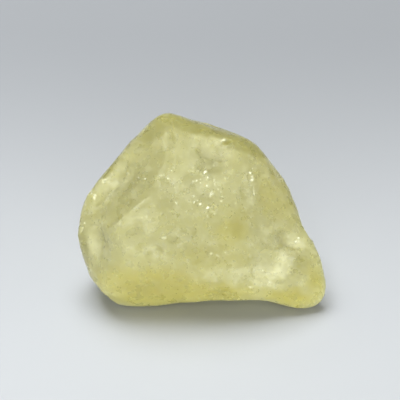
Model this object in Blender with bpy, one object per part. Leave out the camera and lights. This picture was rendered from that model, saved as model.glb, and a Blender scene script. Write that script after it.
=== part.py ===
"""Raw desert glass: one weathered, chipped nodule of natural glass that lies on a flat fracture face."""

import math

import bmesh
import bpy
import numpy as np
from mathutils import Vector, noise

MM = 0.001

# The stone's outline lies in a plane that leans back over the fracture face it rests on.
LEAN = math.radians(38)
RIGHT = np.array((1, 0, 0))
UP = np.array((0, math.sin(LEAN), math.cos(LEAN)))
TOWARDS = np.array((0, -math.cos(LEAN), math.sin(LEAN)))
DOWN = np.array((0, 0, -1))

# Height of the stone's heart, from which every distance below is measured, over the face it lies on
HEART_HEIGHT = 12.0 * MM

# The outline, as millimetres right of and up from the heart, clockwise from the crown
OUTLINE = (
    (-4.3, 14.8),
    (0.0, 13.3),
    (4.6, 11.9),
    (8.4, 10.0),
    (11.4, 6.4),
    (12.75, 4.7),
    (13.75, 2.4),
    (15.6, -2.0),
    (17.9, -6.8),
    (19.0, -10.4),
    (17.3, -13.0),
    (14.8, -13.8),
    (10.0, -12.5),
    (5.0, -12.0),
    (-0.7, -12.4),
    (-7.2, -13.5),
    (-11.6, -13.5),
    (-13.6, -11.3),
    (-15.9, -9.1),
    (-16.4, -7.3),
    (-17.9, -2.4),
    (-17.0, 2.8),
    (-13.5, 7.7),
    (-8.1, 12.7),
    (-6.2, 14.4),
)
OUTLINE_STEPS = 16

# How far the pillow that the outline bounds swells in front of the outline's plane and behind it
FRONT_SWELL = 7.5 * MM
BACK_SWELL = 18 * MM
PILLOW_POWER = 2.6

# Fracture faces: the direction each one faces, as parts right, up and towards the viewer,
# and how far it is from the heart in mm
FACES = {
    "main": ((0.00, 0.10, 0.99), 5.6),
    "crown": ((0.13, 0.26, 0.96), 6.3),
    "belly": ((0.02, -0.20, 0.98), 6.1),
    "left_slope": ((-0.36, 0.32, 0.88), 8.1),
    "left_cheek": ((-0.62, -0.12, 0.78), 11.2),
    "chin": ((0.00, -0.50, 0.86), 7.7),
    "under_front": ((-0.05, -0.74, 0.67), 9.5),
    "tail_top": ((0.45, 0.10, 0.89), 6.9),
    "tail_front": ((0.20, -0.34, 0.92), 7.3),
    "tail_end": ((0.82, -0.30, 0.48), 18.9),
    "right_shoulder": ((0.70, 0.36, 0.62), 10.3),
    "crown_bevel": ((0.31, 0.79, 0.53), 11.7),
    "crown_left": ((-0.72, 0.60, 0.34), 13.8),
    "back": ((0.15, 0.64, -0.75), 12.0),
    "back_left": ((-0.70, 0.35, -0.62), 12.6),
    "back_right": ((0.66, 0.16, -0.73), 11.6),
    "heel": ((-0.10, -0.15, -0.98), 16.2),
}
EDGE_SHARPNESS = 26

# Chips: a point near the middle of each, as mm right, up and towards, then its length, width and depth in mm
# and how far its length is turned from level
CHIPS = {
    "crown_scallop": ((1.6, 9.4, 5.0), 6.6, 4.8, 0.75, 10),
    "crown_nick": ((4.2, 10.8, 4.2), 2.6, 1.8, 0.45, -30),
    "left_high": ((-11.6, 5.4, 3.6), 6.0, 2.8, 0.50, 55),
    "left_middle": ((-14.4, 1.0, 3.0), 4.6, 2.6, 0.50, 65),
    "left_low": ((-15.2, -4.0, 3.0), 5.2, 3.0, 0.55, 110),
    "front_pocket": ((-6.4, -5.4, 5.4), 3.8, 2.6, 0.35, 20),
    "centre_scar": ((0.8, 4.0, 5.4), 9.0, 5.5, 0.40, 35),
    "left_scar": ((-9.6, -2.4, 5.6), 7.5, 4.0, 0.40, 50),
    "belly_scar": ((1.6, -5.0, 5.6), 7.0, 3.6, 0.35, -15),
    "tail_saddle": ((5.2, -1.8, 5.2), 5.0, 3.0, 0.40, 60),
    "tail_hollow": ((10.4, -7.6, 3.6), 6.0, 4.2, 0.60, -20),
    "tail_pocket": ((14.0, -4.4, 2.4), 4.4, 2.6, 0.50, -60),
    "tail_dip": ((14.4, -8.4, 2.2), 4.0, 2.4, 0.35, -35),
    "shoulder_scar": ((9.4, 5.4, 3.6), 6.5, 3.0, 0.40, -65),
    "under_scar": ((-8.0, -10.4, 1.6), 8.0, 4.0, 0.40, 5),
    "under_flake": ((4.0, -10.6, 1.4), 6.0, 3.0, 0.35, 0),
    "crown_flake": ((-2.6, 13.4, -5.0), 6.0, 4.0, 0.55, -20),
    "back_scar": ((-3.0, 6.0, -12.0), 12.0, 8.0, 1.10, 30),
    "back_flake": ((8.0, 1.0, -11.0), 8.0, 6.0, 0.80, 70),
    "back_low": ((0.0, -5.0, -14.0), 9.0, 5.0, 0.60, 0),
    "left_flake": ((-15.0, 0.0, -6.0), 8.0, 5.0, 0.75, 80),
    "left_under": ((-14.0, -8.0, -5.0), 6.0, 4.0, 0.50, 30),
    "right_flake": ((15.0, -1.0, -4.0), 8.0, 4.0, 0.60, -60),
}

# How far in from each side a chip's rim is worn away, and the rim of the face that the stone lies on
CHIP_WEAR = 0.25 * MM
BASE_WEAR = 1.2 * MM

# Undulations of the weathered skin: the distance from crest to crest, and the height, in mm
WAVES = ((9.0, 0.30), (4.0, 0.12))

# Shallow bowls that meet in crests, as wind and sand leave them,
# and their mean level as a share of their depth
BOWL_WIDTH = 4.2 * MM
BOWL_DEPTH = 0.55 * MM
BOWL_LEVEL = 0.28

# The skin is a 20-sided ball, each side cut into a grid, stretched so that the long flanks get as fine a mesh
GRID = 20
STRETCH = np.array((1.35, 0.95, 0.9))

# Angle of the probes that find which way the skin faces, in radians
PROBE_ANGLE = 0.02

STONE_COLOR = (0.60, 0.57, 0.24)
STONE_ROUGHNESS = 0.4
GLASS_IOR = 1.46


def clear_scene():
    for thing in list(bpy.data.objects):
        bpy.data.objects.remove(thing)


def to_world(right, up, towards):
    return right * RIGHT + up * UP + towards * TOWARDS


def unit(vector):
    return vector / np.linalg.norm(vector)


def outline_radius():
    """Angles and distances of a smooth closed curve through the outline's points."""
    points = np.array(OUTLINE) * MM
    before, after, next_but_one = (np.roll(points, shift, axis=0) for shift in (1, -1, -2))
    curve = []
    for step in np.arange(OUTLINE_STEPS) / OUTLINE_STEPS:
        weights = (
            (-step**3 + 2 * step**2 - step) / 2,
            (3 * step**3 - 5 * step**2 + 2) / 2,
            (-3 * step**3 + 4 * step**2 + step) / 2,
            (step**3 - step**2) / 2,
        )
        curve.append(sum(w * p for w, p in zip(weights, (before, points, after, next_but_one))))
    curve = np.concatenate(curve)
    angles = np.arctan2(curve[:, 1], curve[:, 0])
    order = np.argsort(angles)
    return angles[order], np.linalg.norm(curve[order], axis=1)


def pillow_gauge(directions):
    """One over the distance to the pillow's skin in each direction."""
    right, up, towards = (directions @ axis for axis in (RIGHT, UP, TOWARDS))
    angles, radii = outline_radius()
    across = np.hypot(right, up) / np.interp(np.arctan2(up, right), angles, radii, period=2 * math.pi)
    depth = np.abs(towards) / np.where(towards > 0, FRONT_SWELL, BACK_SWELL)
    return (across**PILLOW_POWER + depth**PILLOW_POWER) ** (1 / PILLOW_POWER)


def body_reach(directions):
    """Distance from the heart to the broken nodule, whose faces meet in worn edges."""
    gauges = [pillow_gauge(directions)]
    for parts, distance in FACES.values():
        gauges.append(np.maximum(directions @ unit(to_world(*parts)), 0) / (distance * MM))
    total = sum(gauge**EDGE_SHARPNESS for gauge in gauges)
    return total ** (-1 / EDGE_SHARPNESS)


def body_normal(direction):
    """Outward direction of the nodule's skin where a ray from the heart leaves it."""
    sides = np.eye(3) * PROBE_ANGLE
    probes = np.array([unit(direction + sign * side) for side in sides for sign in (1, -1)])
    points = probes * body_reach(probes)[:, None]
    spans = points[0::2] - points[1::2]
    longest = np.argsort(-np.linalg.norm(spans, axis=1))[:2]
    normal = unit(np.cross(*spans[longest]))
    return normal if normal @ direction > 0 else -normal


def worn_minimum(first, second, wear):
    """The smaller of two distances, rounded off where they are within the wear of each other."""
    overlap = np.maximum(wear - np.abs(first - second), 0)
    return np.minimum(first, second) - overlap**2 / (4 * wear)


def cut_chip(directions, reach, near, length, width, depth, turn):
    """Takes a shallow oval bite out of the skin."""
    middle = unit(to_world(*near))
    skin = middle * body_reach(middle[None])[0]
    outward = body_normal(middle)
    level = to_world(math.cos(turn), math.sin(turn), 0)
    lengthways = unit(level - (level @ outward) * outward)
    squeeze = np.eye(3) + (width / length - 1) * np.outer(lengthways, lengthways)
    radius = (width**2 / 4 + depth**2) / (2 * depth)
    centre = (skin + outward * (radius - depth)) @ squeeze
    rays = directions @ squeeze
    spread = np.sum(rays**2, axis=1)
    along = rays @ centre / spread
    inside = along**2 - (centre @ centre - radius**2) / spread
    met = (inside > 0) & (along > 0)
    entry = along - np.sqrt(np.where(met, inside, 0))
    return np.where(met, worn_minimum(reach, entry, CHIP_WEAR), reach)


def weathering(point):
    """How far the worn skin stands proud at a point."""
    waves = sum(height * MM * noise.noise(point / (span * MM)) for span, height in WAVES)
    nearest = noise.voronoi(point / BOWL_WIDTH)[0][0]
    return waves + BOWL_DEPTH * (nearest**2 - BOWL_LEVEL)


def stone_points(directions):
    reach = body_reach(directions)
    for near, length, width, depth, turn in CHIPS.values():
        reach = cut_chip(directions, reach, near, length * MM, width * MM, depth * MM, math.radians(turn))
    reach = reach + np.array([weathering(Vector(point)) for point in directions * reach[:, None]])
    facing_down = directions @ DOWN
    below = facing_down > 0
    reach[below] = worn_minimum(reach[below], HEART_HEIGHT / facing_down[below], BASE_WEAR)
    return directions * reach[:, None]


def add_stone():
    form = bmesh.new()
    bmesh.ops.create_icosphere(form, subdivisions=1, radius=1)
    bmesh.ops.subdivide_edges(form, edges=form.edges, cuts=GRID - 1, use_grid_fill=True)
    directions = np.array([unit(np.array(vertex.co.normalized()) * STRETCH) for vertex in form.verts])
    points = stone_points(directions)
    lowest = points.min(axis=0)
    highest = points.max(axis=0)
    foot = np.array((lowest[0] + highest[0], lowest[1] + highest[1], 2 * lowest[2])) / 2
    for vertex, point in zip(form.verts, points - foot):
        vertex.co = point
    bmesh.ops.recalc_face_normals(form, faces=form.faces)
    mesh = bpy.data.meshes.new("desert_glass")
    form.to_mesh(mesh)
    form.free()
    mesh.shade_smooth()
    return bpy.data.objects.new("desert_glass", mesh)


def glass_material():
    material = bpy.data.materials.new("desert_glass")
    material.use_nodes = True
    shader = material.node_tree.nodes["Principled BSDF"]
    shader.inputs["Base Color"].default_value = (*STONE_COLOR, 1)
    shader.inputs["Roughness"].default_value = STONE_ROUGHNESS
    shader.inputs["IOR"].default_value = GLASS_IOR
    return material


def main():
    clear_scene()
    collection = bpy.data.collections.new("desert_glass")
    bpy.context.scene.collection.children.link(collection)
    stone = add_stone()
    stone.data.materials.append(glass_material())
    collection.objects.link(stone)


main()
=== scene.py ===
"""Dresses raw desert glass: a finely weathered skin, frosted translucent glass and a plain pale stage."""

import math

import bmesh
import bpy
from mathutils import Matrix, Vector
from mathutils.bvhtree import BVHTree


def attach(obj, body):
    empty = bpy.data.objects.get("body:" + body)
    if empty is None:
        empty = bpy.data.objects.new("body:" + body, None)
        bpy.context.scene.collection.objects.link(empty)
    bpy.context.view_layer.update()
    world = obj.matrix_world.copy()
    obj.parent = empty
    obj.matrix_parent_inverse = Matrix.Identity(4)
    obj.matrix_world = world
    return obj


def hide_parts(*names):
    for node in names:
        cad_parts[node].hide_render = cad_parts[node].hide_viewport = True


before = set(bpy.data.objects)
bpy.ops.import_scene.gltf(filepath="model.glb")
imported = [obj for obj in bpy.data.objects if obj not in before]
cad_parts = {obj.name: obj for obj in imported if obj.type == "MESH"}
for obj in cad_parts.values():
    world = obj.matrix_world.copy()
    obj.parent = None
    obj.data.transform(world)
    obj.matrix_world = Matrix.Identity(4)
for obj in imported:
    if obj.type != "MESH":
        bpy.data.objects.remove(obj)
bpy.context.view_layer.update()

bl_info = {
    "name": "Raw Desert Glass",
    "version": (1, 0, 0),
    "blender": (4, 5, 0),
    "location": "3D View > Sidebar > Desert Glass",
    "description": "Gives the packed stone its weathered skin, its glass and a stage",
    "category": "Object",
}

NODE = "desert_glass"
MM = 0.001

# The middle of the stone as someone in front sees it: the camera looks at it and marks are placed from it
HEART = Vector((-0.32, -2.16, 12.0)) * MM


def direction(azimuth, elevation):
    """Which way a viewer or a lamp lies from the stone, by degrees round it and above it."""
    around = math.radians(azimuth)
    above = math.radians(elevation)
    return Vector((math.sin(around) * math.cos(above), -math.cos(around) * math.cos(above), math.sin(above)))


def side_axes(azimuth, elevation):
    """Right, up and towards the viewer, for someone who looks at the stone from there."""
    around = math.radians(azimuth)
    right = Vector((math.cos(around), math.sin(around), 0))
    towards = direction(azimuth, elevation)
    return right, towards.cross(right), towards


# The two sides that marks are laid on, each mark by its millimetres right and up from the stone's heart
SIDES = {"front": side_axes(0, 38), "back": side_axes(180, 35)}

# How squarely the skin faces the viewer of its side where marks are gone, and where they are whole
FACING = {"front": (-0.6, -0.3), "back": (0.10, 0.35)}

# Flakes struck or etched out of the skin, steep on the side to the left of their length, and low ridges
# where the depth is below zero: where, length, width and depth in mm, and the turn of the length in degrees
FLAKES = {
    "front": {
        "crown_shell": ((2.0, 9.5), 6.2, 3.7, 0.50, 163),
        "crown_ledge": ((3.7, 9.2), 2.6, 1.0, 0.25, 8),
        "crown_nick": ((3.7, 10.1), 1.8, 1.0, 0.55, 22),
        "crown_chip": ((-4.2, 11.2), 2.2, 1.0, 0.30, -60),
        "left_blaze": ((-12.8, 4.4), 8.4, 2.3, 0.42, 230),
        "left_cheek": ((-14.7, -3.7), 4.8, 2.8, 0.38, 280),
        "left_valley": ((-11.4, 0.6), 5.0, 2.0, 0.20, 230),
        "front_pocket": ((-6.5, -5.3), 2.8, 2.2, 0.35, 20),
        "centre_shell": ((-0.6, 4.6), 4.6, 3.0, 0.30, 25),
        "centre_step": ((1.6, 1.6), 3.6, 2.2, 0.25, -30),
        "centre_low": ((-2.6, -2.6), 4.2, 2.6, 0.25, 200),
        "right_shell": ((6.8, 4.4), 4.4, 2.2, 0.16, 75),
        "right_low": ((8.0, -0.4), 3.8, 2.2, 0.14, 120),
        "window": ((10.6, -3.6), 3.8, 2.6, 0.35, 190),
        "tail_cloud": ((10.0, -8.3), 5.4, 3.0, 0.45, 166),
        "tail_blaze": ((13.7, -4.3), 3.0, 1.6, 0.30, 170),
        "tail_hollow": ((14.3, -6.8), 2.8, 2.0, 0.30, 20),
        "ridge_crown": ((-4.7, 10.0), 3.8, 0.9, -0.14, 94),
        "ridge_brow": ((-5.4, 6.2), 4.6, 0.9, -0.14, 67),
        "ridge_left": ((-8.6, 1.4), 4.0, 0.8, -0.16, 40),
    },
    "back": {
        "roof_left": ((-7.0, 0.4), 7.6, 3.4, 0.45, 200),
        "roof_middle": ((2.6, 1.0), 7.4, 4.2, 0.50, 160),
        "roof_right": ((12.4, -0.4), 4.6, 3.0, 0.40, 110),
        "roof_nick": ((-1.6, 2.2), 2.6, 1.2, 0.40, 15),
        "wall_left": ((-10.4, -2.4), 7.6, 3.6, 0.50, 330),
        "wall_middle": ((-1.8, -3.6), 8.6, 5.0, 0.55, 215),
        "wall_right": ((8.8, -3.4), 7.4, 5.2, 0.55, 150),
        "wall_low": ((2.6, -9.0), 5.2, 2.8, 0.40, 190),
        "tail_chip": ((-15.0, -1.6), 3.4, 2.0, 0.40, 60),
        "edge_chip": ((14.6, -1.0), 3.4, 1.8, 0.30, 100),
        "ridge_roof": ((-2.4, -0.2), 6.0, 0.9, -0.16, 20),
        "ridge_wall": ((4.4, -2.0), 5.0, 0.9, -0.14, 100),
    },
}

# Pale frosted haze, with painted sheen at the tail's cloud and blaze and painted highlights along the ridges:
# where, length and width in mm, the turn of the length in degrees, and how strong it is
HAZES = {
    "front": {
        "crown": ((2.0, 9.5), 6.4, 3.6, -15, 0.5),
        "brow": ((-1.8, 8.0), 4.6, 5.6, 20, 0.2),
        "left_blaze": ((-12.8, 4.4), 9.4, 2.8, 50, 0.5),
        "left_cheek": ((-14.7, -3.9), 5.4, 3.0, 102, 0.35),
        "pocket": ((-6.5, -5.3), 3.0, 2.6, 20, 0.45),
        "centre": ((0.0, 4.2), 11.0, 7.4, 10, 0.28),
        "left": ((-9.3, -1.8), 8.0, 6.0, 30, 0.25),
        "right": ((6.8, 3.6), 5.4, 2.4, 80, 0.3),
        "shoulder": ((10.2, 6.6), 10.0, 3.0, -60, 0.3),
        "belly": ((3.0, -4.4), 9.0, 4.0, 0, 0.1),
        # The tail's cloud: milky glass under a painted sheen
        "tail_cloud": ((9.8, -8.4), 6.0, 3.6, -6, 1.0),
        "tail_arm": ((12.2, -6.2), 4.6, 3.0, 60, 0.9),
        "tail_window": ((10.4, -3.2), 5.0, 3.0, 10, 0.4),
        # The tail's blaze: a painted sheen
        "tail_blaze": ((13.8, -4.1), 3.8, 2.4, 10, 0.7),
        "low_middle": ((2.6, -8.4), 8.0, 2.6, 0, 0.34),
        # Along the ridges: painted highlights
        "ridge_crown": ((-4.7, 10.0), 3.6, 0.8, 94, 0.4),
        "ridge_brow": ((-5.4, 6.2), 4.4, 0.8, 67, 0.3),
        "ridge_left": ((-8.6, 1.4), 3.8, 0.7, 40, 0.4),
    },
    "back": {
        "roof": ((-3.0, 1.2), 9.0, 4.0, 15, 0.5),
        "roof_right": ((12.2, 0.0), 5.0, 3.4, 20, 0.7),
        "wall": ((-2.0, -4.4), 9.0, 4.6, -25, 0.6),
        "wall_right": ((9.4, -4.0), 5.6, 5.0, 0, 0.4),
        "wall_left": ((-10.6, -2.2), 6.0, 2.6, 150, 0.7),
        "tail": ((-15.0, -1.8), 3.6, 2.2, 60, 0.9),
        "low": ((3.0, -9.2), 5.0, 2.6, 10, 0.5),
    },
}

# Clear glass that looks deeper and greener, and a painted shade along the upper left outline, in the same
# words
CLEARINGS = {
    "front": {
        "apex": ((-6.0, 12.6), 7.0, 3.0, 50, 0.5),
        "left_slope": ((-8.2, 5.2), 11.0, 3.6, 54, 0.10),
        "left_valley": ((-11.8, 0.3), 6.0, 2.0, 56, 0.12),
        "left_edge": ((-16.8, -4.6), 5.6, 1.8, 100, 0.6),
        # A painted shade: a thin dark line along the upper left outline
        "left_rim_painted_shade": ((-12.6, 8.0), 12.0, 1.2, 52, 0.8),
        "shoulder": ((11.4, 7.0), 14.0, 2.2, -60, 0.15),
        "window": ((10.8, -2.8), 4.0, 1.6, 10, 0.35),
        "tail_shade": ((14.4, -6.8), 3.0, 2.2, 20, 0.2),
    },
    "back": {
        "ridge": ((1.0, 9.6), 16.0, 2.2, 0, 0.7),
        "hollow": ((4.6, 0.6), 7.0, 3.4, 60, 0.5),
        "left": ((-6.4, 0.4), 6.0, 3.0, 10, 0.4),
        "foot": ((-2.0, -11.0), 12.0, 2.4, -30, 0.5),
    },
}

# Clear bevels with a crisp edge, in the same words
BEVELS = {
    "front": {
        "crown_left": ((-0.9, 14.0), 12.0, 4.6, -14, 0.8),
        "crown_right": ((5.4, 12.4), 12.0, 5.0, -27, 0.8),
    },
}

# Smooth stretches of skin, in the same words
CALMS = {
    "front": {
        "crown": ((1.6, 9.6), 8.0, 5.0, -10, 1.0),
        "apex": ((-4.4, 12.0), 5.0, 4.0, 0, 1.0),
        "bevel": ((3.0, 13.0), 18.0, 6.0, -20, 1.0),
        "slope": ((-8.2, 6.0), 12.0, 4.0, 54, 0.7),
    },
    "back": {
        "roof": ((2.6, 5.4), 7.0, 5.0, 160, 0.8),
        "wall": ((8.8, -3.4), 7.0, 5.0, 150, 0.7),
    },
}

# Painted glow: warm, deeper yellow standing in for light that passes through the glass, in the same words
GLOWS = {
    "front": {
        "saddle": ((4.6, -2.0), 8.0, 4.0, 40, 0.5),
        "shoulder": ((10.8, 6.2), 14.0, 4.6, -62, 0.4),
        "belly": ((2.0, -6.0), 12.0, 5.0, 0, 0.3),
        "low_left": ((-6.4, -9.8), 19.0, 6.6, 0, 0.85),
        "low_middle": ((3.0, -11.2), 12.0, 4.0, 0, 0.8),
        "foot_left": ((-6.0, -12.2), 16.0, 3.4, -2, 0.8),
        "low_right": ((13.0, -12.0), 9.0, 3.4, -10, 0.9),
        "tip": ((16.6, -9.6), 6.0, 3.0, -70, 0.55),
        "right": ((10.0, 2.0), 9.0, 4.0, -60, 0.35),
    },
    "back": {
        "roof": ((5.0, 2.4), 9.0, 4.0, -20, 0.6),
        "wall": ((-6.0, -6.0), 12.0, 6.0, -30, 0.7),
        "right": ((13.0, -3.0), 9.0, 6.0, 60, 0.6),
        "tail": ((-13.0, 0.0), 9.0, 4.0, 20, 0.6),
    },
}

# Where the skin glitters: etched finer and dotted with painted glints, small painted highlights, in the same
# words
GLITTERS = {
    "front": {
        "centre": ((0.8, 3.2), 9.0, 9.0, 0, 1.0),
        "brow": ((-4.4, 5.0), 3.0, 8.0, 0, 0.7),
        "left": ((-7.0, 0.5), 7.0, 4.0, 30, 0.5),
        "nick": ((3.6, 10.4), 2.4, 1.4, 0, 1.0),
        "right": ((7.4, 5.2), 1.8, 5.0, 0, 1.0),
        "edge": ((11.6, 5.6), 1.6, 3.0, 30, 0.8),
        "blaze": ((13.8, -3.4), 3.2, 3.4, 0, 1.0),
        "cloud": ((8.8, -8.0), 4.0, 2.6, 0, 0.8),
        "rim": ((-15.0, 3.4), 7.0, 1.2, 56, 1.0),
        "cheek": ((-16.4, -1.6), 2.6, 1.4, 90, 1.0),
        "low": ((2.6, -5.0), 5.0, 2.4, 0, 0.6),
    },
    "back": {
        "middle": ((0.0, -0.5), 12.0, 6.0, 20, 0.9),
        "right": ((10.0, 1.0), 7.0, 6.0, 0, 0.8),
        "left": ((-9.0, -1.0), 7.0, 4.0, 30, 0.7),
        "low": ((2.0, -8.0), 7.0, 4.0, 0, 0.6),
    },
}

# Single nicks: small chips in the skin, each whitened by a painted glint, in the same words
NICKS = {
    "front": {
        "crown": ((3.2, 10.6), 0.9, 0.5, 20, 1.0),
        "crown_below": ((4.3, 9.6), 0.8, 0.3, 30, 0.7),
        "brow": ((0.7, 6.1), 0.9, 0.6, 70, 1.0),
        "brow_left": ((-0.3, 6.4), 0.5, 0.3, 0, 0.8),
        "middle": ((1.8, 3.0), 1.2, 0.7, 80, 0.7),
        "middle_left": ((-1.0, 1.9), 0.5, 0.4, 60, 0.9),
        "middle_low": ((-3.3, 1.7), 0.6, 0.4, 90, 0.9),
        "middle_right": ((3.3, 2.6), 0.8, 0.4, 20, 0.8),
        "right": ((7.4, 5.2), 0.8, 0.7, 40, 1.0),
        "right_trail": ((7.6, 3.6), 2.2, 0.3, 88, 0.7),
        "edge": ((11.6, 5.2), 0.9, 0.6, 40, 0.9),
        "rim": ((-13.6, 4.9), 1.2, 0.6, 50, 1.0),
        "rim_low": ((-15.0, 2.8), 1.1, 0.5, 50, 1.0),
        "cheek": ((-16.9, -2.0), 0.9, 0.4, 70, 1.0),
        "blaze": ((14.0, -3.8), 0.9, 0.6, 20, 1.0),
        "blaze_left": ((12.9, -4.6), 0.7, 0.5, 20, 0.8),
        "cloud": ((9.9, -9.8), 1.0, 0.6, 20, 0.9),
        "cloud_left": ((7.2, -10.2), 0.8, 0.4, 20, 0.8),
        "pocket": ((-5.0, -3.2), 0.7, 0.5, 30, 0.8),
        "low": ((2.4, -5.8), 0.7, 0.4, -40, 0.7),
    },
    "back": {
        "roof": ((-1.4, 2.2), 1.0, 0.5, 20, 1.0),
        "roof_right": ((8.6, 1.4), 0.8, 0.5, 60, 0.9),
        "middle": ((0.6, 1.2), 0.8, 0.5, 30, 0.9),
        "wall": ((5.4, -3.0), 0.9, 0.5, 80, 0.8),
        "left": ((-8.4, -0.6), 0.8, 0.4, 10, 0.9),
        "tail": ((-14.6, -0.6), 0.8, 0.5, 40, 0.9),
        "edge": ((15.4, 1.8), 1.0, 0.5, 70, 0.9),
    },
}

# How far a mark reaches into the stone, and a distance that is well clear of it
MARK_DEPTH = 6 * MM
CLEAR_OF_STONE = 50 * MM

# How marks stray from clean ovals: the width of the noise, and how far it moves them
LOOSE = (2.5 * MM, 1.0 * MM)
TORN = (2.2 * MM, 2.2 * MM)
CRUMPLED = (1.1 * MM, 0.35 * MM)

# How much of each kind of relief is missing where the skin is calm, and the height of a bowl's mean level
CALMED = {"bowls": 0.7, "scoops": 0.85, "pits": 0.7}
MEAN_LEVEL = 0.25

# Where across a flake its steep side begins and is full, and how wide the painted shade along its rim is, as
# shares of its half width
STEEP = (-0.9, 0.7)
RIM = 0.12

# The heights between which the relief fades in, so that the stone rests on a flat face
FOOT = (0.3 * MM, 2.5 * MM)

# Scattered spots: how far apart they are, which is a setting for pits, the share of places that hold one,
# how large the largest is as a share of that distance, and the seed of their pattern
PITS = (0.35, 0.20, 7.0)
# The three sets of glints are painted highlights: white spots in the glass's colour
FINE_GLINTS = (0.5 * MM, 0.55, 0.62, 8.0)
BRIGHT_GLINTS = (1.0 * MM, 0.3, 0.42, 2.0)
LONE_GLINTS = (1.1 * MM, 0.10, 0.34, 3.0)
DARK_DOTS = (1.6 * MM, 0.03, 0.12, 4.0)

# Widths of the patterns in the glass's colour, gloss and bump
MOTTLE = 1.6 * MM
DAPPLE = 2.6 * MM
GLOSS = 1.2 * MM
CRUMBLE = 0.35 * MM
ETCHING = 0.55 * MM
GRAIN = 0.5 * MM

# How spots stray from round ones: the width of the noise, and how far it moves them
WARP = (0.4 * MM, 0.5 * MM)

# Heights of the relief that is too fine for the mesh: etched cells, grain, and the holes of glints and dots
ETCHING_HEIGHT = 0.03 * MM
GRAIN_HEIGHT = 0.014 * MM
HOLE_DEPTH = 0.04 * MM

# How far each next seed moves along in a pattern
SEED_STEP = (0.11, 0.07, 0.05)

# Points of the solid that are closer than this are one
SAME_POINT = 0.001 * MM

# The floor: half its side, how far it lies below the stone, and where its painted shade fades in from near to
# far
FLOOR_HALF = 1.5
FLOOR_DROP = 0.05 * MM
FLOOR_FADE = (-32 * MM, 70 * MM)

# The camera sees nothing nearer than this
CLIP_START = 10 * MM

# Lights: degrees round the stone from the viewer and above it, distance, width and height in metres, watts,
# and whether the stone mirrors it
LIGHTS = {
    "softbox above": (206, 69, 0.32, 0.24, 0.20, 1.30, False),
    "low fill": (4, 3, 0.40, 0.40, 0.035, 2.45, False),
    "right fill": (100, 3, 0.40, 0.30, 0.035, 0.50, False),
    "left fill": (-110, 3, 0.40, 0.30, 0.035, 0.30, False),
    "spark": (-25, 50, 0.40, 0.05, 0.04, 0.07, True),
    "back fill": (176, 3, 0.40, 0.40, 0.035, 0.45, False),
    "back card": (218, 42, 0.40, 0.06, 0.05, 0.05, True),
}
LIGHT_COLOR = (0.94, 0.97, 1.0)


class Wire:
    """A node's output, which adds Math nodes when it is used in a sum."""

    def __init__(self, bench, socket):
        self.bench = bench
        self.socket = socket

    def math(self, operation, *values):
        return self.bench.node("ShaderNodeMath", {"operation": operation}, dict(enumerate((self, *values))))

    def __add__(self, other):
        return self.math("ADD", other)

    def __mul__(self, other):
        return self.math("MULTIPLY", other)

    def __sub__(self, other):
        return self.math("SUBTRACT", other)

    def __rsub__(self, other):
        return (self * -1) + other

    def __truediv__(self, other):
        return self.math("DIVIDE", other)

    def __rtruediv__(self, other):
        return (self**-1) * other

    def __pow__(self, other):
        return self.math("POWER", other)

    def at_least(self, other):
        return self.math("MAXIMUM", other)

    def at_most(self, other):
        return self.math("MINIMUM", other)

    __radd__ = __add__
    __rmul__ = __mul__


class Bench:
    """A node tree to build on."""

    def __init__(self, tree):
        self.tree = tree

    def node(self, kind, settings=None, sockets=None, output=0):
        """Adds a node, sets it, fills or links its sockets, and returns one of its outputs."""
        node = self.tree.nodes.new(kind)
        for name, value in (settings or {}).items():
            setattr(node, name, value)
        for name, value in (sockets or {}).items():
            if isinstance(value, Wire):
                self.tree.links.new(value.socket, node.inputs[name])
            else:
                node.inputs[name].default_value = value
        return Wire(self, node.outputs[output])

    def vector(self, operation, *values, output=0):
        return self.node("ShaderNodeVectorMath", {"operation": operation}, dict(enumerate(values)), output)

    def scaled(self, vector, length):
        sockets = {"Vector": vector, "Scale": length}
        return self.node("ShaderNodeVectorMath", {"operation": "SCALE"}, sockets)

    def moved(self, where, seed):
        """The same place in another part of an endless pattern."""
        return self.vector("ADD", where, tuple(step * seed for step in SEED_STEP)) if seed else where

    def noise(self, where, width, detail=2.0, output=0, roughness=0.5, seed=0.0):
        """Noise whose patches are about that wide, in metres."""
        place = self.moved(where, seed)
        sockets = {"Vector": place, "Scale": 1 / width, "Detail": detail, "Roughness": roughness}
        return self.node("ShaderNodeTexNoise", None, sockets, output)

    def stray(self, where, width, reach, detail=2.0, roughness=0.5, seed=0.0):
        """A shift of up to about half that reach, from noise that wide."""
        noise = self.noise(where, width, detail, 1, roughness, seed)
        return self.scaled(self.vector("SUBTRACT", noise, (0.5, 0.5, 0.5)), reach)

    def cells(self, where, width, seed=0.0, metric="EUCLIDEAN"):
        """Distance to the nearest of points scattered about that far apart, as a share of that."""
        sockets = {"Vector": self.moved(where, seed), "Scale": 1 / width}
        return self.node("ShaderNodeTexVoronoi", {"distance": metric}, sockets)

    def ramp(self, value, low, high, start=0.0, end=1.0):
        """Eases from start to end as the value goes from low to high."""
        sockets = {"Value": value, "From Min": low, "From Max": high, "To Min": start, "To Max": end}
        return self.node("ShaderNodeMapRange", {"interpolation_type": "SMOOTHSTEP"}, sockets)

    def blend(self, share, first, second):
        """A colour between two colours."""
        kind = {"data_type": "RGBA", "blend_type": "MIX"}
        return self.node("ShaderNodeMix", kind, {"Factor": share, 6: first, 7: second}, output=2)


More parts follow.
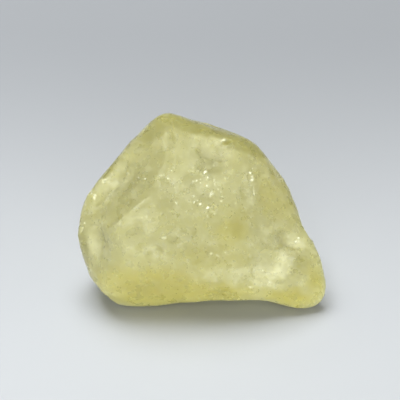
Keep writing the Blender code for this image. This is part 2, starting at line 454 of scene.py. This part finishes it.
class GlassSettings(bpy.types.PropertyGroup):
    """Sizes and colours of the stone."""

    fineness: bpy.props.IntProperty(
        name="Fineness", description="How often each face of the solid is split", default=2, min=0, max=3
    )
    bowl_width: bpy.props.FloatProperty(
        name="Bowl Width", description="Width of the wind-worn bowls", default=3.0 * MM, unit="LENGTH"
    )
    bowl_depth: bpy.props.FloatProperty(
        name="Bowl Depth", description="Depth of the wind-worn bowls", default=0.22 * MM, unit="LENGTH"
    )
    scoop_width: bpy.props.FloatProperty(
        name="Scoop Width", description="Width of the small scoops", default=1.25 * MM, unit="LENGTH"
    )
    scoop_depth: bpy.props.FloatProperty(
        name="Scoop Depth", description="Depth of the small scoops", default=0.07 * MM, unit="LENGTH"
    )
    grain_width: bpy.props.FloatProperty(
        name="Grain Width", description="Width of the finest lumps", default=0.6 * MM, unit="LENGTH"
    )
    grain_height: bpy.props.FloatProperty(
        name="Grain Height", description="Height of the finest lumps", default=0.03 * MM, unit="LENGTH"
    )
    pit_spacing: bpy.props.FloatProperty(
        name="Pit Spacing", description="Distance between pits", default=1.8 * MM, unit="LENGTH"
    )
    pit_depth: bpy.props.FloatProperty(
        name="Pit Depth", description="Depth of the deepest pits", default=0.22 * MM, unit="LENGTH"
    )
    nick_depth: bpy.props.FloatProperty(
        name="Nick Depth", description="Depth of the single bright nicks", default=0.14 * MM, unit="LENGTH"
    )
    seed: bpy.props.FloatProperty(
        name="Seed", description="Picks another scatter of bowls and lumps", default=3.0
    )
    glass_color: bpy.props.FloatVectorProperty(
        name="Glass", description="Colour of the glass itself", subtype="COLOR", default=(0.44, 0.42, 0.188)
    )
    clear_color: bpy.props.FloatVectorProperty(
        name="Clear", description="Colour of clearer glass", subtype="COLOR", default=(0.372, 0.352, 0.125)
    )
    # Painted glow: the warm yellow of light that passes through the glass
    glow_color: bpy.props.FloatVectorProperty(
        name="Glow", description="Colour of warmer glass", subtype="COLOR", default=(0.455, 0.406, 0.082)
    )
    # Painted glints: the white of small highlights, set into the colour
    painted_glint_color: bpy.props.FloatVectorProperty(
        name="Glint", description="Colour of small bright breaks", subtype="COLOR", default=(1.0, 1.0, 0.8)
    )
    dot_color: bpy.props.FloatVectorProperty(
        name="Dot", description="Colour of the few dark specks", subtype="COLOR", default=(0.20, 0.18, 0.07)
    )
    frost_color: bpy.props.FloatVectorProperty(
        name="Frost", description="Colour of dull bruised skin", subtype="COLOR", default=(0.80, 0.78, 0.46)
    )
    haze_color: bpy.props.FloatVectorProperty(
        name="Haze", description="Colour of the frosted haze", subtype="COLOR", default=(0.54, 0.525, 0.30)
    )
    depth_color: bpy.props.FloatVectorProperty(
        name="Depth", description="Colour that deep glass takes", subtype="COLOR", default=(0.85, 0.79, 0.3)
    )
    absorption: bpy.props.FloatProperty(
        name="Absorption", description="How strongly deep glass takes its colour", default=40.0, min=0
    )
    transmission: bpy.props.FloatProperty(
        name="Transmission", description="Share of light that passes through", default=0.35, subtype="FACTOR"
    )
    ior: bpy.props.FloatProperty(name="IOR", description="How strongly the glass bends light", default=1.46)
    scatter_reach: bpy.props.FloatProperty(
        name="Scatter Reach", description="How far light scatters inside", default=11 * MM, unit="LENGTH"
    )


class StageSettings(bpy.types.PropertyGroup):
    """The floor, the lights and the camera."""

    floor_color: bpy.props.FloatVectorProperty(
        name="Floor", description="Colour of the floor", subtype="COLOR", default=(0.59, 0.605, 0.63)
    )
    # Painted shade: the floor behind is darker, where light falls off
    far_shade_color: bpy.props.FloatVectorProperty(
        name="Far", description="Colour of the floor behind", subtype="COLOR", default=(0.335, 0.345, 0.366)
    )
    air_color: bpy.props.FloatVectorProperty(
        name="Air", description="Light from all round", subtype="COLOR", default=(0.205, 0.196, 0.15)
    )
    backdrop_color: bpy.props.FloatVectorProperty(
        name="Backdrop", description="Colour behind the floor", subtype="COLOR", default=(0.34, 0.36, 0.38)
    )
    view_width: bpy.props.FloatProperty(
        name="View Width", description="Width of the view at the stone", default=57.4 * MM, unit="LENGTH"
    )
    rise: bpy.props.FloatProperty(
        name="Rise",
        description="From the stone's heart to the middle of the view",
        default=2.15 * MM,
        unit="LENGTH",
    )
    distance: bpy.props.FloatProperty(
        name="Distance", description="From the camera to the stone", default=220 * MM, unit="LENGTH"
    )


# The skin's sizes that the node tree asks for, as the settings name them
SIZES = (
    "Bowl Width", "Bowl Depth", "Scoop Width", "Scoop Depth", "Grain Width", "Grain Height",
    "Pit Spacing", "Pit Depth", "Nick Depth", "Seed",
)


def reach_group():
    """A node group: how far a point is from an oval mark's middle, 1 at its rim, and how far across."""
    tree = bpy.data.node_groups.new("reach of a mark", "GeometryNodeTree")
    for name in ("Where", "Middle", "Along", "Across", "Outward"):
        tree.interface.new_socket(name, in_out="INPUT", socket_type="NodeSocketVector")
    tree.interface.new_socket("Reach", in_out="OUTPUT", socket_type="NodeSocketFloat")
    tree.interface.new_socket("Side", in_out="OUTPUT", socket_type="NodeSocketFloat")
    bench = Bench(tree)
    inputs = tree.nodes.new("NodeGroupInput")
    asked = {socket.name: Wire(bench, socket) for socket in inputs.outputs if socket.name}
    offset = bench.vector("SUBTRACT", asked["Where"], asked["Middle"])
    along, across, deep = (
        bench.vector("DOT_PRODUCT", offset, asked[name], output=1) for name in ("Along", "Across", "Outward")
    )
    reach = (along**2 + across**2 + deep**2) ** 0.5
    outputs = tree.nodes.new("NodeGroupOutput")
    tree.links.new(reach.socket, outputs.inputs["Reach"])
    tree.links.new(across.socket, outputs.inputs["Side"])
    return tree


class Marker:
    """Lays oval marks on the stone, each where a ray from the viewer of its side meets the solid."""

    def __init__(self, bench, solid, outward):
        self.bench = bench
        self.solid = solid
        self.group = reach_group()
        self.facing = {}
        for side, axes in SIDES.items():
            turn = bench.vector("DOT_PRODUCT", outward, axes[2], output=1)
            self.facing[side] = bench.ramp(turn, *FACING[side])

    def reach(self, where, side, middle, length, width, turn):
        """How far a point is from one mark's middle, as a share of the way to its rim."""
        right, up, towards = SIDES[side]
        aim = HEART + (right * middle[0] + up * middle[1]) * MM
        struck = self.solid.ray_cast(aim + towards * CLEAR_OF_STONE, -towards)
        spot = struck[0] or self.solid.find_nearest(aim)[0]
        angle = math.radians(turn)
        along = right * math.cos(angle) + up * math.sin(angle)
        sockets = {
            "Where": where,
            "Middle": spot,
            "Along": along / (length * MM / 2),
            "Across": towards.cross(along) / (width * MM / 2),
            "Outward": towards / MARK_DEPTH,
        }
        return self.bench.node("GeometryNodeGroup", {"node_tree": self.group}, sockets)

    def field(self, where, marks, core=0.3, rim=1.35):
        """How strongly marks lie over each point: fully within the core, not at all beyond the rim."""
        whole = None
        for side, facing in self.facing.items():
            total = None
            for values in marks.get(side, {}).values():
                reach = self.reach(where, side, *values[:4])
                mark = self.bench.ramp(reach, core, rim, values[4], 0.0)
                total = mark if total is None else total + mark * (1 - total)
            if total is not None:
                whole = total * facing if whole is None else whole.at_least(total * facing)
        return whole


def specks(bench, where, spacing, share, size, seed, metric="EUCLIDEAN"):
    """Small scattered spots, 1 at their middle: a share of the cells holds one, up to that size."""
    voronoi = bench.cells(where, spacing, seed, metric)
    color = Wire(bench, voronoi.socket.node.outputs["Color"])
    lot = bench.vector("DOT_PRODUCT", color, (1, 0, 0), output=1)
    radius = (lot - (1 - share)) * (size / share)
    return bench.ramp(radius - voronoi, 0.0, 0.12)


def skin_tree(solid):
    """Geometry nodes that split the solid's faces finely and weather them."""
    tree = bpy.data.node_groups.new("weathered skin", "GeometryNodeTree")
    face = tree.interface
    face.new_socket("Geometry", in_out="INPUT", socket_type="NodeSocketGeometry")
    face.new_socket("Fineness", in_out="INPUT", socket_type="NodeSocketInt")
    for name in SIZES:
        face.new_socket(name, in_out="INPUT", socket_type="NodeSocketFloat")
    face.new_socket("Material", in_out="INPUT", socket_type="NodeSocketMaterial")
    face.new_socket("Geometry", in_out="OUTPUT", socket_type="NodeSocketGeometry")

    bench = Bench(tree)
    inputs = tree.nodes.new("NodeGroupInput")
    asked = {socket.name: Wire(bench, socket) for socket in inputs.outputs if socket.name}
    where = bench.node("GeometryNodeInputPosition")
    outward = bench.node("GeometryNodeInputNormal")
    height = bench.vector("DOT_PRODUCT", where, (0, 0, 1), output=1)
    marker = Marker(bench, solid, outward)

    drift = bench.scaled(SEED_STEP, asked["Seed"])
    scatter = bench.vector("ADD", where, drift)
    loose = bench.vector("ADD", where, bench.stray(where, *LOOSE))
    torn = bench.vector("ADD", where, bench.stray(where, *TORN, detail=4.0, roughness=0.6, seed=4.0))
    crumpled = bench.vector("ADD", loose, bench.stray(where, *CRUMPLED, seed=8.0))

    bowls = bench.cells(bench.vector("ADD", loose, drift), asked["Bowl Width"])
    clear = marker.field(torn, CLEARINGS, core=0.6, rim=1.2)
    glow = marker.field(torn, GLOWS)
    calm = clear.at_least(glow).at_least(marker.field(loose, CALMS, core=0.7, rim=1.2))
    relief = (bowls**2 - MEAN_LEVEL) * asked["Bowl Depth"] * (1 - CALMED["bowls"] * calm)
    scoops = bench.cells(torn, asked["Scoop Width"], seed=5.0)
    relief = relief + (scoops**2 - MEAN_LEVEL) * asked["Scoop Depth"] * (1 - CALMED["scoops"] * calm)
    lumps = bench.noise(scatter, asked["Grain Width"], detail=3.0)
    relief = relief + (lumps - 0.5) * asked["Grain Height"]
    pits = specks(bench, loose, asked["Pit Spacing"], *PITS)
    relief = relief - pits * asked["Pit Depth"] * (1 - CALMED["pits"] * calm)
    nicks = marker.field(crumpled, NICKS, core=0.5, rim=1.1)
    relief = relief - nicks * asked["Nick Depth"]

    painted_rim_shade = None
    flakes = [(side, *values) for side, marks in FLAKES.items() for values in marks.values()]
    for side, middle, length, width, depth, turn in flakes:
        reach = marker.reach(crumpled, side, middle, length, width, turn)
        across = Wire(bench, reach.socket.node.outputs["Side"])
        steep = bench.ramp(across, *STEEP) * marker.facing[side]
        relief = relief - (1 - reach**4).at_least(0.0) * steep * (depth * MM)
        # Painted shade: a dark arc along the rim of each flake's steep side, which the glass takes as clearer
        # colour
        if depth > 0:
            rim = bench.ramp((reach - 1).math("ABSOLUTE"), 0.0, RIM, 1.0, 0.0) * steep
            painted_rim_shade = rim if painted_rim_shade is None else painted_rim_shade.at_least(rim)
    relief = relief * bench.ramp(height, *FOOT)

    # The rim mask is painted shade along the flakes' rims
    kept = {
        "haze": marker.field(torn, HAZES),
        "clear": clear.at_least(marker.field(loose, BEVELS, core=0.9, rim=1.1)),
        # The glow mask is painted glow
        "glow": glow,
        "glitter": marker.field(torn, GLITTERS),
        "rim": painted_rim_shade,
        "pit": pits,
        "nick": nicks,
    }
    sockets = {"Mesh": asked["Geometry"], "Level": asked["Fineness"]}
    stone = bench.node("GeometryNodeSubdivisionSurface", None, sockets)
    stored = {"data_type": "FLOAT", "domain": "POINT"}
    for name, value in kept.items():
        sockets = {"Geometry": stone, "Name": name, "Value": value}
        stone = bench.node("GeometryNodeStoreNamedAttribute", stored, sockets)
    shift = bench.scaled(outward, relief)
    stone = bench.node("GeometryNodeSetPosition", None, {"Geometry": stone, "Offset": shift})
    stone = bench.node("GeometryNodeSetShadeSmooth", None, {"Geometry": stone})
    stone = bench.node("GeometryNodeRealizeInstances", None, {"Geometry": stone})
    stone = bench.node("GeometryNodeSetMaterial", None, {"Geometry": stone, "Material": asked["Material"]})
    outputs = tree.nodes.new("NodeGroupOutput")
    tree.links.new(stone.socket, outputs.inputs["Geometry"])
    return tree


def glint_field(bench, where, mottle, glow, glitter, pit, nick):
    """How strongly painted glints, small highlights painted white over breaks, pits and nicks, whiten the
    skin.
    """
    spread = bench.ramp(mottle, 0.35, 0.5) * glitter
    fine, bright, lone = (
        specks(bench, where, *spots, "MANHATTAN") for spots in (FINE_GLINTS, BRIGHT_GLINTS, LONE_GLINTS)
    )
    glints = (fine * spread * 0.7).at_least(bright * spread * 0.8)
    # Lone glints and the pits take a painted highlight too
    glints = glints.at_least(lone * (0.5 - 0.45 * glow)).at_least(pit * 0.2)
    return glints.at_least(nick)


def fine_bump(bench, where, warped, glow, glitter, holes):
    """Relief too fine for the mesh: grain, etched cells where the skin glitters, and small holes."""
    etched = (1 - 0.9 * glow) * (0.2 + 0.8 * glitter)
    etching = bench.cells(warped, ETCHING, seed=1.0) ** 2 * etched * ETCHING_HEIGHT
    grain = bench.noise(where, GRAIN, detail=1.0) * GRAIN_HEIGHT
    sockets = {"Height": grain + etching - holes * HOLE_DEPTH, "Strength": 1.0, "Distance": 1.0}
    return bench.node("ShaderNodeBump", None, sockets)


def set_glass(shader, settings):
    """How the glass lets light through, scatters it and shines."""
    values = {
        "IOR": settings.ior,
        "Transmission Weight": settings.transmission,
        "Coat Weight": 0.2,
        "Coat Roughness": 0.16,
        "Subsurface Weight": 1.0,
        "Subsurface Radius": (1.0, 0.95, 0.6),
        "Subsurface Scale": settings.scatter_reach,
    }
    for name, value in values.items():
        shader.inputs[name].default_value = value


def glass_material(settings):
    """Frosted, translucent pale yellow glass, with painted glints, painted shade along flake rims and a
    painted glow.
    """
    material = bpy.data.materials.new("desert glass")
    material.use_nodes = True
    tree = material.node_tree
    bench = Bench(tree)
    shader = tree.nodes["Principled BSDF"]
    where = bench.node("ShaderNodeTexCoord", output="Object")
    haze, clear, glow, glitter, rim, pit, nick = (
        bench.node("ShaderNodeAttribute", {"attribute_name": name}, output="Fac")
        for name in ("haze", "clear", "glow", "glitter", "rim", "pit", "nick")
    )
    mottle = bench.noise(where, MOTTLE, detail=5.0, roughness=0.6, seed=2.0)
    dapple = bench.noise(where, DAPPLE, detail=3.0, seed=6.0)
    # Painted shade: the flakes' rims take the darker clear colour, in patches
    clear = clear.at_least(rim * bench.ramp(mottle, 0.4, 0.6, 0.5, 0.1))
    clear = (clear + bench.ramp(dapple, 0.5, 0.7, 0.0, 0.2)).at_most(1.0)
    wisps = bench.ramp(mottle, 0.5, 0.66, 0.0, 0.2) * (1 - 0.7 * glow)
    haze = haze * bench.ramp(mottle, 0.35, 0.6, 0.4, 1.0) + wisps
    haze = (haze * (1 - 0.8 * clear)).at_most(1.0)
    color = bench.blend(glow, (*settings.glass_color, 1), (*settings.glow_color, 1))
    color = bench.blend(clear, color, (*settings.clear_color, 1))
    color = bench.blend(haze, color, (*settings.haze_color, 1))
    width, reach = WARP
    warped = bench.vector("ADD", where, bench.scaled(bench.noise(where, width, output=1), reach))
    # Painted glints on the nicks, broken up by noise
    painted_nick_glints = nick * bench.ramp(bench.noise(where, CRUMBLE, seed=9.0), 0.35, 0.6, 0.15, 0.75)
    glints = glint_field(bench, warped, mottle, glow, glitter, pit, painted_nick_glints)
    dots = specks(bench, warped, *DARK_DOTS) * (0.7 - 0.6 * glow)
    color = bench.blend(dots, color, (*settings.dot_color, 1))
    rough = bench.ramp(bench.noise(where, GLOSS, detail=3.0), 0.3, 0.7, 0.22, 0.42)
    bump = fine_bump(bench, where, warped, glow, glitter, glints + dots)
    tree.links.new(color.socket, shader.inputs["Base Color"])
    tree.links.new(rough.socket, shader.inputs["Roughness"])
    tree.links.new(bump.socket, shader.inputs["Normal"])
    # The frost's own colour, painted white where the glints lie
    frost_and_glint_color = bench.blend(glints, (*settings.frost_color, 1), (*settings.painted_glint_color, 1))
    sockets = {"Base Color": frost_and_glint_color, "Roughness": 0.5, "Normal": bump}
    frost = bench.node("ShaderNodeBsdfPrincipled", None, sockets)
    frosting = (haze - 0.6 * clear) * 0.3 + 0.10 - 0.06 * glow
    share = frosting.at_least(0.03).at_least(glints) * (1 - dots)
    glass = Wire(bench, shader.outputs["BSDF"])
    mixed = bench.node("ShaderNodeMixShader", None, {0: share, 1: glass, 2: frost})
    ending = tree.nodes["Material Output"]
    tree.links.new(mixed.socket, ending.inputs["Surface"])
    set_glass(shader, settings)
    sockets = {"Color": (*settings.depth_color, 1), "Density": settings.absorption}
    absorb = bench.node("ShaderNodeVolumeAbsorption", None, sockets)
    tree.links.new(absorb.socket, ending.inputs["Volume"])
    return material


def merged_copy(solid):
    """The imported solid's mesh in place with its faces joined, and a tree to cast rays at it."""
    form = bmesh.new()
    form.from_mesh(solid.data)
    form.transform(solid.matrix_world)
    bmesh.ops.remove_doubles(form, verts=form.verts, dist=SAME_POINT)
    mesh = bpy.data.meshes.new("stone_core")
    form.to_mesh(mesh)
    shape = BVHTree.FromBMesh(form)
    form.free()
    return mesh, shape


class DESERTGLASS_OT_stone(bpy.types.Operator):
    """Build the stone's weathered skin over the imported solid"""

    bl_idname = "desert_glass.stone"
    bl_label = "Stone"

    def execute(self, context):
        settings = context.scene.glass_settings
        mesh, shape = merged_copy(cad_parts[NODE])
        core = bpy.data.objects.new("stone_core", mesh)
        context.scene.collection.objects.link(core)

        tree = skin_tree(shape)
        modifier = core.modifiers.new("weathered skin", "NODES")
        modifier.node_group = tree
        names = ("Fineness", *SIZES)
        values = {name: getattr(settings, name.lower().replace(" ", "_")) for name in names}
        values["Material"] = glass_material(settings)
        for socket in tree.interface.items_tree:
            if socket.in_out == "INPUT" and socket.name in values:
                modifier[socket.identifier] = values[socket.name]
        seen = core.evaluated_get(context.evaluated_depsgraph_get())
        skin = bpy.data.meshes.new_from_object(seen)
        stone = bpy.data.objects.new("weathered_stone", skin)
        context.scene.collection.objects.link(stone)
        bpy.data.objects.remove(core)
        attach(stone, "root")
        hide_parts(NODE)
        return {"FINISHED"}


def add_light(context, name, azimuth, elevation, distance, width, height, energy, mirrored):
    """Hangs a soft light that faces the stone."""
    light = bpy.data.lights.new(name, "AREA")
    light.shape = "RECTANGLE"
    light.size = width
    light.size_y = height
    light.energy = energy
    light.color = LIGHT_COLOR
    out = direction(azimuth, elevation)
    lamp = bpy.data.objects.new(name, light)
    lamp.location = HEART + out * distance
    lamp.rotation_mode = "QUATERNION"
    lamp.rotation_quaternion = out.to_track_quat("Z", "Y")
    lamp.visible_camera = False
    lamp.visible_glossy = mirrored
    lamp.visible_transmission = False
    context.scene.collection.objects.link(lamp)


def floor_material(settings):
    """A matt pale floor with painted shade that darkens it a little behind the stone."""
    material = bpy.data.materials.new("pale floor")
    material.use_nodes = True
    bench = Bench(material.node_tree)
    shader = material.node_tree.nodes["Principled BSDF"]
    where = bench.node("ShaderNodeTexCoord", output="Object")
    depth = bench.vector("DOT_PRODUCT", where, (0, 1, 0), output=1)
    share = bench.ramp(depth, *FLOOR_FADE)
    color = bench.blend(share, (*settings.floor_color, 1), (*settings.far_shade_color, 1))
    material.node_tree.links.new(color.socket, shader.inputs["Base Color"])
    shader.inputs["Roughness"].default_value = 0.8
    return material


def lay_floor(context, settings):
    """A large plain floor just below the stone."""
    form = bmesh.new()
    bmesh.ops.create_grid(form, x_segments=1, y_segments=1, size=FLOOR_HALF)
    mesh = bpy.data.meshes.new("floor")
    form.to_mesh(mesh)
    form.free()
    mesh.materials.append(floor_material(settings))
    floor = bpy.data.objects.new("floor", mesh)
    floor.location.z = -FLOOR_DROP
    context.scene.collection.objects.link(floor)


def fill_air(context, settings):
    """Soft light from all round, and a plain backdrop for the camera alone."""
    world = bpy.data.worlds.new("studio")
    world.use_nodes = True
    bench = Bench(world.node_tree)
    backdrop = world.node_tree.nodes["Background"]
    seen = bench.node("ShaderNodeLightPath", output="Is Camera Ray")
    color = bench.blend(seen, (*settings.air_color, 1), (*settings.backdrop_color, 1))
    world.node_tree.links.new(color.socket, backdrop.inputs["Color"])
    context.scene.world = world


def set_camera(context, settings):
    """A camera that looks at the stone's front."""
    camera = bpy.data.cameras.new("camera")
    camera.lens = camera.sensor_width * settings.distance / settings.view_width
    camera.clip_start = CLIP_START
    stand = bpy.data.objects.new("camera", camera)
    up, towards = SIDES["front"][1:]
    stand.location = HEART + up * settings.rise + towards * settings.distance
    stand.rotation_mode = "QUATERNION"
    stand.rotation_quaternion = towards.to_track_quat("Z", "Y")
    context.scene.collection.objects.link(stand)
    context.scene.camera = stand


class DESERTGLASS_OT_stage(bpy.types.Operator):
    """Lay the floor, hang the lights and set the camera"""

    bl_idname = "desert_glass.stage"
    bl_label = "Stage"

    def execute(self, context):
        settings = context.scene.stage_settings
        lay_floor(context, settings)
        fill_air(context, settings)
        context.scene.view_settings.view_transform = "Standard"
        for name, values in LIGHTS.items():
            add_light(context, name, *values)
        set_camera(context, settings)
        return {"FINISHED"}


class DESERTGLASS_PT_panel(bpy.types.Panel):
    """Lists the stone and its stage"""

    bl_idname = "DESERTGLASS_PT_panel"
    bl_label = "Desert Glass"
    bl_space_type = "VIEW_3D"
    bl_region_type = "UI"
    bl_category = "Desert Glass"

    def draw(self, context):
        column = self.layout.column()
        column.operator("desert_glass.stone")
        column.operator("desert_glass.stage")


CLASSES = (GlassSettings, StageSettings, DESERTGLASS_OT_stone, DESERTGLASS_OT_stage, DESERTGLASS_PT_panel)


def register():
    for kind in CLASSES:
        bpy.utils.register_class(kind)
    bpy.types.Scene.glass_settings = bpy.props.PointerProperty(type=GlassSettings)
    bpy.types.Scene.stage_settings = bpy.props.PointerProperty(type=StageSettings)


def unregister():
    del bpy.types.Scene.stage_settings
    del bpy.types.Scene.glass_settings
    for kind in reversed(CLASSES):
        bpy.utils.unregister_class(kind)


def main():
    register()
    bpy.ops.desert_glass.stone()
    bpy.ops.desert_glass.stage()


if __name__ == "__main__":
    main()
